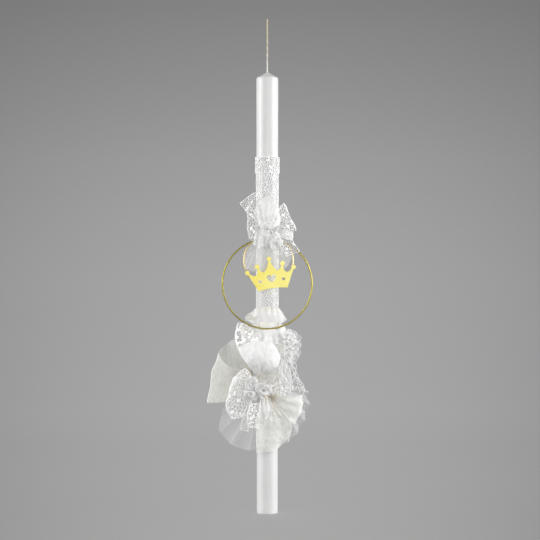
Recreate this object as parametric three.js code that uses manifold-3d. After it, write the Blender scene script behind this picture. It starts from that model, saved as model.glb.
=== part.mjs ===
// Decorated ceremonial candle: a tall wax candle in a lace sleeve, with a ribbon bow near its top,
// a large bow near its foot, and two gold hoops with a crown that hang between the bows.
// Millimetres, +Z up, front towards -Y, origin at the centre of the candle's flat foot.
import * as THREE from "three";
import { mergeVertices } from "three/addons/utils/BufferGeometryUtils.js";
import Module from "manifold-3d";

const wasm = await Module();
wasm.setup();

// ---- driving dimensions ----
const gap = 0.3; // clearance between pieces that touch

const candle_height = 692.5; // foot to shoulder
const candle_foot_d = 33.2;
const candle_shoulder_d = 34.8;
const candle_tip_rise = 8.8; // the low cone above the shoulder
const candle_edge_r = 1.5; // soft edge round the foot
const wick_d = 2.4;
const wick_stand = 85; // wick above the tip of the wax
const wick_floor = 8; // wax left under the wick

const sleeve_foot_z = 130;
const sleeve_top_z = 566;
const sleeve_t = 0.6;
const cuff_h = 25.4; // folded-over band at the top of the sleeve

const tie_cord_d = 2.2;
const upper_knot_z = 456;
const lower_knot_drop = 67.15; // below the foot of the outer hoop
const second_knot_drop = 38; // the second tie of the lower bow, below the first
const cloth_t = 1.0; // a gathered ribbon, as a solid

const outer_hoop_r = 70.6; // to the middle of the wire
const outer_wire_d = 2.5;
const inner_hoop_r = 39;
const inner_wire_d = 2;
const outer_hoop_top = 435.6; // height of the wire's middle at the top of the hoop
const inner_hoop_top = 440.2;
const outer_hoop_out = 5; // hoop plane in front of the tie
const inner_hoop_out = 11;
const hanger_x = 1.4;
const inner_hoop_x = 1.9;
const eye_wall = 0.9; // thread round each wire
const hanger_w = 1.2;

const crown_t = 2;
const crown_base_half = 22.8;
const crown_arch = 2.2; // rise of the arched base
const crown_ball_r = 3.6;
const crown_turn = 7.7; // degrees, its right side higher
const crown_fit_r = 39; // the crown is drawn to span a hoop of this radius
const crown_offset = 7.3; // middle of its base, beside the foot of the inner hoop
const crown_drop = 5.8; // and below it
const glue_t = 0.9;
const glue_r = 2.2;

// ---- places worked out from them ----
const candleRadius = (z) => THREE.MathUtils.lerp(candle_foot_d, candle_shoulder_d, z / candle_height) / 2;
const sleeveInner = (z) => candleRadius(z) + gap;
const sleeveOuter = (z) => sleeveInner(z) + sleeve_t;
const tieOuter = (z) => sleeveOuter(z) + gap + tie_cord_d;
const lower_knot_z = outer_hoop_top - 2 * outer_hoop_r - outer_wire_d / 2 - lower_knot_drop;
const second_knot_z = lower_knot_z - second_knot_drop;
const widest_tie = Math.max(tieOuter(upper_knot_z), tieOuter(second_knot_z));
const bow_front = widest_tie + gap; // the bows start in front of this plane
const inner_hoop_z = inner_hoop_top - inner_hoop_r;
const crown_scale = inner_hoop_r / crown_fit_r;
const crown_x = inner_hoop_x + crown_offset * crown_scale;
const crown_z = inner_hoop_z - inner_hoop_r - crown_drop * crown_scale;
const crown_back = bow_front + inner_hoop_out + inner_wire_d / 2 + glue_t + 2 * gap;

const group = new THREE.Group();

function finish(name, geometry, colour, roughness, metalness = 0) {
  const material = new THREE.MeshStandardMaterial({ color: colour, roughness, metalness });
  const mesh = new THREE.Mesh(geometry, material);
  mesh.name = name;
  group.add(mesh);
  return mesh;
}

// ---- shape helpers ----
function positionsOnly(geometry) {
  const bare = geometry.clone();
  bare.deleteAttribute("normal");
  bare.deleteAttribute("uv");
  return mergeVertices(bare, 1e-4);
}

function toSolid(geometry) {
  const bare = positionsOnly(geometry);
  return new wasm.Manifold(new wasm.Mesh({
    numProp: 3,
    vertProperties: new Float32Array(bare.attributes.position.array),
    triVerts: new Uint32Array(bare.index.array),
  }));
}

function toGeometry(solid) {
  const mesh = solid.getMesh();
  const geometry = new THREE.BufferGeometry();
  geometry.setAttribute("position", new THREE.BufferAttribute(new Float32Array(mesh.vertProperties), 3));
  geometry.setIndex(Array.from(mesh.triVerts));
  geometry.computeVertexNormals();
  return geometry;
}

// Turns a [radius, height] outline round the candle's axis.
function turned(outline, segments = 32) {
  const points = outline.map(([r, z]) => new THREE.Vector2(r, z));
  const geometry = new THREE.LatheGeometry(points, segments);
  geometry.rotateX(Math.PI / 2);
  return geometry;
}

function ringBand(zLow, zHigh, inner, outer) {
  const outline = [
    [inner(zLow), zLow],
    [outer(zLow), zLow],
    [outer(zHigh), zHigh],
    [inner(zHigh), zHigh],
    [inner(zLow), zLow],
  ];
  return turned(outline);
}

// A wire ring that stands in the XZ plane, its top at z = 0.
function standingRing(radius, wire_d) {
  const geometry = new THREE.TorusGeometry(radius, wire_d / 2, 8, 48);
  geometry.rotateX(Math.PI / 2);
  geometry.translate(0, 0, -radius);
  return geometry;
}

function signedVolume(points, faces) {
  const total = (sum, [a, b, c]) => sum + points[a].dot(points[b].clone().cross(points[c])) / 6;
  return faces.reduce(total, 0);
}

function closedMesh(points, faces) {
  const out = signedVolume(points, faces) > 0;
  const geometry = new THREE.BufferGeometry().setFromPoints(points);
  geometry.setIndex(faces.flatMap(([a, b, c]) => (out ? [a, b, c] : [a, c, b])));
  geometry.computeVertexNormals();
  return geometry;
}

// A smooth grid of points through ribs, each rib a row of points across the ribbon.
function smoothGrid(ribs, steps, across) {
  const curve = (points) => new THREE.CatmullRomCurve3(points, false, "catmullrom", 0.5);
  const rows = [];
  for (let i = 0; i <= steps; i++) rows.push([]);
  for (let j = 0; j <= across; j++) {
    const along = curve(ribs.map((rib) => curve(rib).getPoint(j / across)));
    rows.forEach((row, i) => row.push(along.getPoint(i / steps)));
  }
  return rows;
}

function gridNormal(rows, i, j) {
  const last = rows.length - 1;
  const end = rows[0].length - 1;
  const down = rows[Math.min(i + 1, last)][j].clone().sub(rows[Math.max(i - 1, 0)][j]);
  const side = rows[i][Math.min(j + 1, end)].clone().sub(rows[i][Math.max(j - 1, 0)]);
  return down.cross(side).normalize();
}

// A ribbon as a thin closed solid: two offset skins of the grid and a rim that joins them.
function thickSheet(rows, thickness) {
  const n = rows.length;
  const m = rows[0].length;
  const skin = (side) => rows.flatMap((row, i) => row.map((point, j) => {
    return point.clone().addScaledVector(gridNormal(rows, i, j), (side * thickness) / 2);
  }));
  const points = [...skin(1), ...skin(-1)];
  const back = n * m;
  const faces = [];
  const quad = (a, b, c, d) => faces.push([a, b, c], [a, c, d]);
  for (let i = 0; i < n - 1; i++) {
    for (let j = 0; j < m - 1; j++) {
      const a = i * m + j;
      quad(a, a + m, a + m + 1, a + 1);
      quad(back + a, back + a + 1, back + a + m + 1, back + a + m);
    }
  }
  for (let j = 0; j < m - 1; j++) {
    const far = (n - 1) * m + j;
    quad(j, j + 1, back + j + 1, back + j);
    quad(far + 1, far, back + far, back + far + 1);
  }
  for (let i = 0; i < n - 1; i++) {
    const left = i * m;
    const right = left + m - 1;
    quad(left + m, left, back + left, back + left + m);
    quad(right, right + m, back + right + m, back + right);
  }
  return closedMesh(points, faces);
}

// A piece of a bow. A rib point is [x, distance in front of the tie, height from the knot].
function cloth(name, colour, knot_z, ribs) {
  const place = ([x, out, up]) => new THREE.Vector3(x, -(bow_front + out), knot_z + up);
  const rows = smoothGrid(ribs.map((rib) => rib.map(place)), 3 * (ribs.length - 1), 4);
  finish(name, thickSheet(rows, cloth_t), colour, 0.8);
}

function knot(name, colour, x, out, z, size) {
  const geometry = new THREE.SphereGeometry(0.5, 16, 10);
  geometry.rotateX(Math.PI / 2);
  geometry.scale(...size);
  geometry.translate(x, -(bow_front + out), z);
  finish(name, geometry, colour, 0.8);
}

// ---- candle ----
function candle() {
  const top = candle_height;
  const bore = wick_d / 2 + gap;
  const foot = candle_foot_d / 2;
  const edge = candle_edge_r;
  const outline = [
    [0, 0],
    [foot - edge, 0],
    [foot - edge * 0.3, edge * 0.3],
    [foot, edge],
    [candleRadius(top - 2), top - 2],
    [candleRadius(top) - 1, top + 0.6],
    [candleRadius(top) * 0.45, top + candle_tip_rise * 0.6],
    [bore + 0.8, top + candle_tip_rise],
    [bore, top + candle_tip_rise],
    [bore, wick_floor],
    [0, wick_floor],
  ];
  finish("candle_wax", turned(outline), 0xf6f5f0, 0.5);
  const low = wick_floor + gap;
  const high = top + candle_tip_rise + wick_stand;
  const wick = new THREE.CylinderGeometry(wick_d / 2, wick_d / 2, high - low, 12);
  wick.rotateX(Math.PI / 2);
  wick.translate(0, 0, (low + high) / 2);
  finish("wick", wick, 0xd8d2b8, 0.9);
}

// ---- lace round the candle ----
function sleeve() {
  finish("lace_sleeve", ringBand(sleeve_foot_z, sleeve_top_z, sleeveInner, sleeveOuter), 0xf2f2ee, 0.9);
  const inner = (z) => sleeveOuter(z) + gap;
  const outer = (z) => inner(z) + sleeve_t;
  finish("lace_cuff", ringBand(sleeve_top_z - cuff_h, sleeve_top_z, inner, outer), 0xf6f6f2, 0.9);
}

function tie(name, z) {
  const middle = sleeveOuter(z) + gap + tie_cord_d / 2;
  const geometry = new THREE.TorusGeometry(middle, tie_cord_d / 2, 8, 32);
  geometry.translate(0, 0, z);
  finish(name, geometry, 0xefede4, 0.8);
}

// ---- upper bow ----
function upperBow() {
  const ivory = 0xe6e3d6;
  const white = 0xf4f4f0;
  const z = upper_knot_z;
  tie("upper_tie", z);
  knot("upper_knot", ivory, -1, 8.7, z, [15, 16, 10]);
  cloth("net_tail_left", white, z, [
    [[-9, 2, 3], [-15, 2, 1]],
    [[-5, 5, 34], [-18, 5, 18]],
    [[-17, 4, 53], [-27, 3, 30]],
    [[-43, -5, 37], [-34, -3, 24]],
  ]);
  cloth("net_loop_left", white, z, [
    [[-10, 20, 6], [-10, 20, -6]],
    [[-21, 32, 15], [-19, 32, -18]],
    [[-32, 26, 21], [-29, 26, -20]],
    [[-24, 18, 17], [-22, 19, -22]],
    [[-11, 16, 7], [-11, 17, -7]],
  ]);
  cloth("net_loop_right", white, z, [
    [[9, 11, 8], [10, 11, -1]],
    [[18, 19, 27], [30, 19, -4]],
    [[27, 9, 36], [46, 10, -7]],
    [[20, -1, 29], [32, -2, -4]],
    [[9, 1, 9], [11, 1, 1]],
  ]);
  cloth("organza_loop_right", ivory, z, [
    [[13, 21, -5], [12, 21, -9]],
    [[28, 25, -6], [26, 25, -19]],
    [[41, 21, -9], [40, 21, -22]],
    [[28, 17.5, -7], [26, 17.5, -18]],
    [[13, 17, -5], [12, 17, -9]],
  ]);
  cloth("puff_left", ivory, z, [
    [[-8, 23, -3], [-3, 24, -3]],
    [[-15, 33, 8], [-3, 37, 8]],
    [[-13, 30, 21], [-2.5, 34, 23]],
    [[-12, 22, 15], [-3, 24, 16]],
    [[-7, 18.5, 2], [-2.5, 19, 2]],
  ]);
  cloth("puff_right", ivory, z, [
    [[0, 24, -3], [6, 23, -3]],
    [[0, 38, 9], [14, 33, 8]],
    [[2, 34, 31], [13, 31, 28]],
    [[1, 24, 20], [11, 22, 18]],
    [[0, 19, 2], [6, 18.5, 2]],
  ]);
  cloth("net_tail_right", white, z, [
    [[13, 28, 1], [9, 28, -7]],
    [[26, 33, -1], [13, 34, -19]],
    [[38, 35, -21], [22, 36, -34]],
    [[50, 34, -40], [30, 35, -48]],
  ]);
  cloth("net_tail_front", white, z, [
    [[3, 24, -9], [8, 24, -9]],
    [[10, 28, -26], [19, 28, -28]],
    [[14, 29, -45], [24, 29, -44]],
  ]);
  cloth("organza_tail_left", ivory, z, [
    [[-7, 22, -8], [-1, 23, -9]],
    [[-14, 27, -17], [-5, 29, -20]],
    [[-20, 28, -28], [-8, 31, -33]],
  ]);
  cloth("tulle_veil", 0xeeeeee, z, [
    [[-10, 0.6, -8], [-38, 1.4, -50]],
    [[-5, 0.6, -9], [-21, 1.4, -61]],
    [[5, 0.6, -9], [21, 1.4, -61]],
    [[10, 0.6, -8], [38, 1.4, -50]],
  ]);
}

// ---- hoops, with the thread that they hang in ----
function hanger() {
  const eyes = [
    [bow_front + outer_hoop_out, outer_hoop_top, outer_wire_d],
    [bow_front + inner_hoop_out, inner_hoop_top, inner_wire_d],
  ];
  const stem_out = bow_front + (outer_hoop_out + inner_hoop_out) / 2;
  const stem_top = upper_knot_z - 5 - gap;
  const stem = new THREE.Shape();
  stem.moveTo(stem_out - 0.7, stem_top);
  stem.lineTo(eyes[0][0] - 0.7, outer_hoop_top + outer_wire_d / 2 + gap + 0.1);
  stem.lineTo(eyes[1][0] + 0.7, inner_hoop_top + inner_wire_d / 2 + gap + 0.1);
  stem.lineTo(stem_out + 0.7, stem_top);
  const plate = (shape) => {
    const geometry = new THREE.ExtrudeGeometry(shape, { depth: hanger_w, bevelEnabled: false, curveSegments: 10 });
    return toSolid(geometry);
  };
  const disc = (out, z, radius) => plate(new THREE.Shape().absarc(out, z, radius, 0, 2 * Math.PI));
  let thread = plate(stem);
  for (const [out, z, wire_d] of eyes) thread = thread.add(disc(out, z, wire_d / 2 + gap + eye_wall));
  for (const [out, z, wire_d] of eyes) {
    const hole = disc(out, z, wire_d / 2 + gap);
    thread = thread.subtract(hole);
  }
  const geometry = toGeometry(thread);
  // The shape's x is the distance in front of the axis and its y is the height.
  const forward = new THREE.Vector3(0, -1, 0);
  const up = new THREE.Vector3(0, 0, 1);
  const across = new THREE.Vector3(-1, 0, 0);
  geometry.applyMatrix4(new THREE.Matrix4().makeBasis(forward, up, across));
  geometry.translate(hanger_x + hanger_w / 2, 0, 0);
  finish("hanger_thread", geometry, 0xe8e4d4, 0.9);
}

function hoop(name, radius, wire_d, x, out, top, colour) {
  const geometry = standingRing(radius, wire_d);
  geometry.translate(x, -(bow_front + out), top);
  finish(name, geometry, colour, 0.3, 1);
}

// ---- crown ----
const crown_balls = [[36.6, 30.8], [20.1, 38.6], [0, 48.4], [-20.1, 38.6], [-36.6, 30.8]];
const crown_valleys = [[24, 25], [9.6, 29.6], [-9.6, 29.6], [-24, 25]];

function heart(x, y, width) {
  const w = width / 2;
  const path = new THREE.Path();
  path.moveTo(x, y - w * 0.85);
  path.bezierCurveTo(x + w * 0.5, y - w * 0.4, x + w, y - w * 0.05, x + w, y + w * 0.35);
  path.bezierCurveTo(x + w, y + w * 0.95, x + w * 0.2, y + w * 1.05, x, y + w * 0.4);
  path.bezierCurveTo(x - w * 0.2, y + w * 1.05, x - w, y + w * 0.95, x - w, y + w * 0.35);
  path.bezierCurveTo(x - w, y - w * 0.05, x - w * 0.5, y - w * 0.4, x, y - w * 0.85);
  return path;
}

function crownOutline() {
  const neck = 0.36; // radians each side of a ball's stalk
  const left = [-crown_base_half, 0];
  const right = [crown_base_half, 0];
  const beside = [right, ...crown_valleys, left];
  const stalks = crown_balls.map(([x, y], k) => {
    const [before, after] = [beside[k], beside[k + 1]];
    return Math.atan2((before[1] + after[1]) / 2 - y, (before[0] + after[0]) / 2 - x);
  });
  const rim = (k, turn) => {
    const angle = stalks[k] + turn;
    const [x, y] = crown_balls[k];
    return [x + crown_ball_r * Math.cos(angle), y + crown_ball_r * Math.sin(angle)];
  };
  const shape = new THREE.Shape();
  shape.moveTo(...left);
  shape.quadraticCurveTo(0, 2 * crown_arch, ...right);
  crown_balls.forEach(([x, y], k) => {
    const entry = rim(k, neck);
    if (k === 0) {
      shape.lineTo(...entry);
    } else {
      const exit = rim(k - 1, -neck);
      const [vx, vy] = crown_valleys[k - 1];
      const control = [2 * vx - (exit[0] + entry[0]) / 2, 2 * vy - (exit[1] + entry[1]) / 2];
      shape.quadraticCurveTo(...control, ...entry);
    }
    shape.absarc(x, y, crown_ball_r, stalks[k] + neck, stalks[k] - neck + 2 * Math.PI, false);
  });
  shape.closePath();
  shape.holes.push(heart(0, 17, 14.6), heart(18.5, 14.2, 6), heart(-18.5, 14.2, 6));
  return shape;
}

function crown() {
  const settings = { depth: crown_t, bevelEnabled: false, curveSegments: 8 };
  const geometry = new THREE.ExtrudeGeometry(crownOutline(), settings);
  geometry.scale(crown_scale, crown_scale, 1);
  geometry.rotateX(Math.PI / 2);
  geometry.rotateY(THREE.MathUtils.degToRad(-crown_turn));
  geometry.translate(crown_x, -crown_back, crown_z);
  finish("crown", geometry, 0xf2d84a, 0.25, 1);
}

// One dab of glue behind each end ball and one at the foot of the hoop.
function glueDots() {
  const turn = THREE.MathUtils.degToRad(crown_turn);
  const ends = [crown_balls[4], crown_balls[0]].map(([x, y]) => [
    crown_x + crown_scale * (x * Math.cos(turn) - y * Math.sin(turn)),
    crown_z + crown_scale * (x * Math.sin(turn) + y * Math.cos(turn)),
  ]);
  const spots = [...ends, [inner_hoop_x, inner_hoop_z - inner_hoop_r]];
  spots.forEach(([x, z], k) => {
    const geometry = new THREE.CylinderGeometry(glue_r, glue_r, glue_t, 12);
    geometry.translate(x, -(crown_back - gap - glue_t / 2), z);
    finish(`glue_dot_${k + 1}`, geometry, 0xe9e6da, 0.4);
  });
}

// ---- lower bow ----
function lowerBow() {
  const ivory = 0xdedbcd;
  const white = 0xf4f4f0;
  const sheer = 0xe8e8e8;
  const z = lower_knot_z;
  tie("lower_tie_1", z);
  tie("lower_tie_2", second_knot_z);
  knot("lower_knot_1", ivory, -13, 9.5, z, [9, 16, 9]);
  knot("lower_knot_2", ivory, -3, 18.5, second_knot_z, [9, 35, 10]);
  cloth("tulle_fan_left", sheer, second_knot_z, [
    [[-24, 1, 2], [-70, -22, -22]],
    [[-23, 1, -4], [-77, -24, -53]],
    [[-18, 1, -9], [-58, -13, -77]],
    [[-14, 1, -11], [-30, -2, -86]],
    [[-8, 1, -11], [-9, 1.5, -83]],
  ]);
  cloth("tulle_ruffle_right", sheer, second_knot_z, [
    [[8, 1, -12], [21, 0, -83]],
    [[14, 1, -9], [45, -8, -74]],
    [[19, 1, -2], [64, -18, -46]],
    [[20, 1, 8], [70, -22, -14]],
    [[18, 1, 16], [61, -16, 30]],
  ]);
  cloth("tulle_collar", sheer, z, [
    [[-20, -11, 100], [-34, -6, 82]],
    [[-11, -3, 102], [-18, 0, 74]],
    [[0, -1, 103], [0, 1.2, 70]],
    [[11, -3, 102], [17, 0, 74]],
    [[20, -11, 100], [31, -6, 82]],
  ]);
  cloth("collar_loop", ivory, z, [
    [[-20, 1, 86], [-20, 1, 81]],
    [[-27, 1.5, 93], [-27, 1.5, 80.5]],
    [[-34, 1, 88], [-34, 1, 81]],
  ]);
  cloth("picot_lace_loop", white, z, [
    [[-22, 8.5, 8], [-15, 8.5, 12]],
    [[-32, 9.5, 15], [-11, 9.5, 22]],
    [[-43.5, 9.5, 33], [-11, 9.5, 40]],
    [[-50, 7.5, 54], [-11, 7, 56]],
    [[-46, 2, 78], [-17, 2, 72]],
  ]);
  cloth("organza_ruffle", white, z, [
    [[-7, 3.5, 60], [-8, 11, 47]],
    [[10, 4, 63], [10, 12, 45]],
    [[27, 3.5, 60], [26, 11, 47]],
  ]);
  cloth("white_petal", white, z, [
    [[-18, 20, 3], [-12, 21, 5], [-7, 20, 2]],
    [[-33, 31, 17], [-12, 40, 24], [15, 36, 11]],
    [[-45, 27, 37], [-10, 37, 50], [21, 31, 33]],
    [[-36, 16, 31], [-11, 18, 39], [13, 17, 26]],
    [[-17, 13, 10], [-12, 13, 12], [-6, 13, 10]],
  ]);
  cloth("organza_puff_right", ivory, z, [
    [[0, 8, 9], [3, 8, 3]],
    [[12, 9, 24], [26, 9, 14]],
    [[29, 7, 42], [41, 3, 34]],
    [[30, 2, 61], [38, -4, 57]],
  ]);
  cloth("guipure_trim", white, z, [
    [[32, 11, 63], [38, 8, 66]],
    [[42, 12.5, 49], [51, 9, 52]],
    [[44, 12.5, 32], [52, 10, 30]],
    [[37, 12.5, 17], [42, 12.5, 12]],
  ]);
  cloth("thread_strip", white, z, [
    [[18, 13, 22], [25, 13, 33]],
    [[21, 15, 8], [30, 15, 8]],
    [[25, 17, -12], [36, 17, -12]],
    [[30, 19, -31], [41, 19, -30]],
  ]);
  cloth("ivory_loop_left", ivory, z, [
    [[-24, 14, 0], [-24, 14, -13]],
    [[-43, 18, 6], [-43, 18, -38]],
    [[-63, 18, 9], [-65, 18, -46]],
    [[-83, 5, 27], [-94, 4, -49]],
    [[-70, -9, 41], [-78, -11, -46]],
    [[-52, -7, 53], [-51, -9, -40]],
    [[-31, 1, 36], [-27, 0, -24]],
    [[-23, 4, 6], [-23, 4, -8]],
  ]);
  cloth("crackle_net_loop", white, second_knot_z, [
    [[-21, 30, 23], [-22, 30, 14], [-21, 30, 5]],
    [[-34, 37, 45], [-42, 39, 10], [-33, 36, -26]],
    [[-51, 31, 30], [-64, 31, -4], [-57, 30, -33]],
    [[-37, 22.5, 40], [-46, 22, 6], [-36, 22, -24]],
    [[-21, 22, 23], [-22, 22, 15], [-21, 22, 7]],
  ]);
  cloth("lace_tail", white, second_knot_z, [
    [[-32, 41, -13], [-26, 41, -12]],
    [[-37, 41, -26], [-30, 42, -28]],
    [[-42, 38, -50], [-29, 40, -52]],
  ]);
  cloth("rosette_top", white, second_knot_z, [
    [[-17, 40, 9], [-10, 40, 10]],
    [[-24, 45, 18], [-9, 46, 20]],
    [[-31, 42, 24], [-10, 43, 27]],
  ]);
  cloth("rosette_left", white, second_knot_z, [
    [[-17, 41, 5], [-15, 41, -2]],
    [[-26, 47, 9], [-22, 47, -7]],
    [[-34, 43, 12], [-30, 43, -9]],
  ]);
  cloth("rosette_right", white, second_knot_z, [
    [[-6, 41, 7], [-5, 41, 0]],
    [[2, 47, 16], [4, 47, 0]],
    [[10, 42, 22], [12, 42, 4]],
  ]);
  cloth("satin_petal", white, second_knot_z, [
    [[-8, 42, -6], [0, 42, -6]],
    [[-12, 44, -18], [7, 44, -18]],
    [[-9, 42, -38], [3, 42, -32]],
  ]);
  cloth("lace_scrap", white, second_knot_z, [
    [[-25, 45, -12], [-15, 45, -11]],
    [[-28, 47, -26], [-14, 47, -26]],
    [[-27, 44, -44], [-15, 44, -47]],
  ]);
  cloth("ivory_fan_right", ivory, second_knot_z, [
    [[6, 20, 4], [6, 20, 0], [6, 20, -4]],
    [[28, 32, 1], [27, 35, -9], [18, 33, -23]],
    [[54, 22, 2], [54, 24, -17], [43, 24, -42]],
    [[34, 9, 1], [34, 8, -12], [28, 9, -30]],
    [[8, 10, 2], [8, 10, -1], [8, 10, -4]],
  ]);
  cloth("ivory_panel", ivory, second_knot_z, [
    [[-8, 36, -9], [6, 36, -9]],
    [[-15, 37, -32], [26, 38, -28]],
    [[-17, 29, -59], [33, 33, -43]],
    [[-16, 15, -86], [25, 23, -58]],
  ]);
}

candle();
sleeve();
upperBow();
hanger();
hoop("outer_hoop", outer_hoop_r, outer_wire_d, 0, outer_hoop_out, outer_hoop_top, 0xc9b458);
hoop("inner_hoop", inner_hoop_r, inner_wire_d, inner_hoop_x, inner_hoop_out, inner_hoop_top, 0xd8c878);
crown();
glueDots();
lowerBow();

export default group;
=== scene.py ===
"""Looks of the decorated ceremonial candle: wax, lace, gathered ribbon, net, tulle, gold hoops and a crown.
Lengths in this file are millimetres and become metres when a mesh is made, except on the stage."""
import random
from math import comb, cos, pi, radians, sin

import bmesh
import bpy
import numpy as np
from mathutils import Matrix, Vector, noise
from mathutils.geometry import delaunay_2d_cdt
from numpy.linalg import norm


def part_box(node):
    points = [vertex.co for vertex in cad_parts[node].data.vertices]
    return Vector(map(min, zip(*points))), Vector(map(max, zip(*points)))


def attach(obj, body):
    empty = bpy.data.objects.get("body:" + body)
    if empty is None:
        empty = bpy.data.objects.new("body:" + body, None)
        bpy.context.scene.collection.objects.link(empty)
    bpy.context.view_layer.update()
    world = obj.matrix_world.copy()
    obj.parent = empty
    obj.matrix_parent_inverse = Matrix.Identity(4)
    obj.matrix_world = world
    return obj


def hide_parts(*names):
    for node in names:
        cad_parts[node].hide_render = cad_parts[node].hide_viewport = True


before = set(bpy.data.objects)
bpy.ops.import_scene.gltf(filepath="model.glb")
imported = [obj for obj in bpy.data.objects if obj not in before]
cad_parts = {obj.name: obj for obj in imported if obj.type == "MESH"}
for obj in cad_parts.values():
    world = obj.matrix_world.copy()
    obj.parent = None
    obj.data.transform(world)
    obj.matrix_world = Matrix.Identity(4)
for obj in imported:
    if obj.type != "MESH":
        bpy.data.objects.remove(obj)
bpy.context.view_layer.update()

MM = 0.001
TAU = 2 * pi


# ---------------------------------------------------------------- places read from the frame
def low(node):
    return np.array(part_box(node)[0]) / MM


def high(node):
    return np.array(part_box(node)[1]) / MM


def middle(node):
    return (low(node) + high(node)) / 2


KNOT_BACK = 0.7  # the upper knot starts this far behind the bows' plane
FRONT = -(high("upper_knot")[1] + KNOT_BACK)  # distance of the bows' plane from the axis
UPPER = middle("upper_knot")[2]
FIRST = middle("lower_knot_1")[2]
SECOND = middle("lower_knot_2")[2]
WAX_TOP = high("candle_wax")[2]
FOOT_R = 16.6
SHOULDER_R = high("candle_wax")[0]
TIP_RISE = 8.8
SHOULDER_Z = WAX_TOP - TIP_RISE


def wax_radius(z):
    return FOOT_R + (SHOULDER_R - FOOT_R) * z / SHOULDER_Z


# ---------------------------------------------------------------- mesh helpers
def show(name, data):
    made = bpy.data.objects.new(name, data)
    bpy.context.scene.collection.objects.link(made)
    return made


def new_piece(name, vertices, faces, material, body="root", smooth=True):
    mesh = bpy.data.meshes.new(name)
    mesh.from_pydata([tuple(v) for v in np.asarray(vertices) * MM], [], faces)
    mesh.validate()
    mesh.polygons.foreach_set("use_smooth", [smooth] * len(mesh.polygons))
    mesh.materials.append(material)
    piece = show(name, mesh)
    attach(piece, body)
    return piece


def outward(piece, weld=0.0):
    """Turns every face of a closed mesh to look out, once corners nearer than weld metres are joined."""
    bm = bmesh.new()
    bm.from_mesh(piece.data)
    if weld:
        bmesh.ops.remove_doubles(bm, verts=bm.verts, dist=weld)
    bmesh.ops.recalc_face_normals(bm, faces=bm.faces)
    bm.to_mesh(piece.data)
    bm.free()
    return piece


def evaluated(piece):
    """A mesh of what a curve, or a piece with modifiers, looks like."""
    graph = bpy.context.evaluated_depsgraph_get()
    return bpy.data.meshes.new_from_object(piece.evaluated_get(graph))


def stand_for(piece, node):
    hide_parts(node)
    return piece


def solid(name, parts, material, node, body="root"):
    """One piece made of closed parts, which stands for a CAD node."""
    return stand_for(outward(new_piece(name, *joined(parts), material, body)), node)


def spline(points, ts):
    """Points on a Catmull-Rom curve through points, whose first axis runs along the curve."""
    points = np.asarray(points, float)
    ends = [2 * points[0] - points[1], *points, 2 * points[-1] - points[-2]]
    padded = np.stack(ends)
    last = len(points) - 1
    out = []
    for t in np.asarray(ts) * last:
        k = min(int(t), last - 1)
        f = t - k
        a, b, c, d = padded[k:k + 4]
        bend = 2 * a - 5 * b + 4 * c - d
        twist = 3 * b - a - 3 * c + d
        out.append(b + 0.5 * f * ((c - a) + f * (bend + f * twist)))
    return np.stack(out)


def place(knot, ribs):
    """Ribs in space. Each is a line of points, and a point is x, distance in front of the tie, height
    from the knot, as in the CAD."""
    if isinstance(ribs, str):
        rows = [line.split(",") for line in ribs.strip().split("\n")]
        ribs = [[[float(number) for number in point.split()] for point in row] for row in rows]
    return [[(x, -(FRONT + out), knot + up) for x, out, up in rib] for rib in ribs]


def sheet_points(ribs, us, vs):
    across = np.stack([spline(rib, vs) for rib in ribs])
    return spline(across, us)


def grid_normals(grid):
    down = np.gradient(grid, axis=0)
    side = np.gradient(grid, axis=1)
    normal = np.cross(down, side)
    return normal / np.maximum(norm(normal, axis=2, keepdims=True), 1e-9)


def fade(a, reach):
    return np.exp(-((a / reach) ** 2))


def crumple(grid, normal, amount, scale, seed):
    if not amount:
        return grid
    shift = Vector((seed * 7.1, seed * 3.3, seed * 5.7))
    lifts = [noise.fractal(Vector(p) / scale + shift, 0.6, 2.0, 3) for p in grid.reshape(-1, 3)]
    return grid + normal * (amount * np.array(lifts).reshape(grid.shape[:2]))[..., None]


def folded_steps(count, folds, half):
    """Steps of 0..1 that run back and forth over each fold, and how far each step is lifted."""
    edges = [0.0]
    for fold in folds:
        edges += [fold + half, fold - half]
    edges.append(1.0)
    steps, lifts = [], []
    for k, (a, b) in enumerate(zip(edges[:-1], edges[1:])):
        n = max(4, int(count * abs(b - a)))
        steps += list(np.linspace(a, b, n, endpoint=False))
        lifts += list(np.full(n, 0.0 if k % 2 == 0 else 1.0))
    return np.array(steps + [1.0]), np.array(lifts + [0.0])


FOLD_HALF = 0.012  # half the width of a pressed fold, as a share of the cloth
LAYER_LIFT = 0.5  # how far the cloth rises over its own fold
WRINKLE_SCALE = 13.0


def gathered(knot, ribs, pleats, waves, wrinkle, fan=False, looped=False, size=(72, 30), folds=(), seed=1):
    """A cloth surface as a grid. pleats = (count, depth, reach) at the knot, waves = (count, depth) far
    from it. On a fan the ribs run outwards and follow each other round the knot; elsewhere they lie across
    the ribbon."""
    ribs = place(knot, ribs)
    us, lifts = np.linspace(0, 1, size[0]), np.zeros(size[0])
    if folds:
        us, lifts = folded_steps(size[0], folds, FOLD_HALF)
    vs = np.linspace(0, 1, size[1])
    grid = sheet_points(ribs, us, vs)
    normal = grid_normals(sheet_points(ribs, np.linspace(0, 1, len(us)), vs))
    u, v = np.meshgrid(us, vs, indexing="ij")
    away, round_ = (v, u) if fan else (u, v)
    if looped:
        away = 1 - np.abs(2 * u - 1)
    count, depth, reach = pleats
    phase = seed * 1.7
    root = depth * fade(away, reach) * np.sin(TAU * count * round_ + phase)
    number, swell = waves
    rim = swell * np.sin(TAU * number * round_ + phase + 1.3 * away) * away ** 1.5
    lift = root + rim + LAYER_LIFT * lifts[:, None]
    grid = grid + normal * lift[..., None]
    return crumple(grid, normal, wrinkle, WRINKLE_SCALE, seed), away


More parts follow.
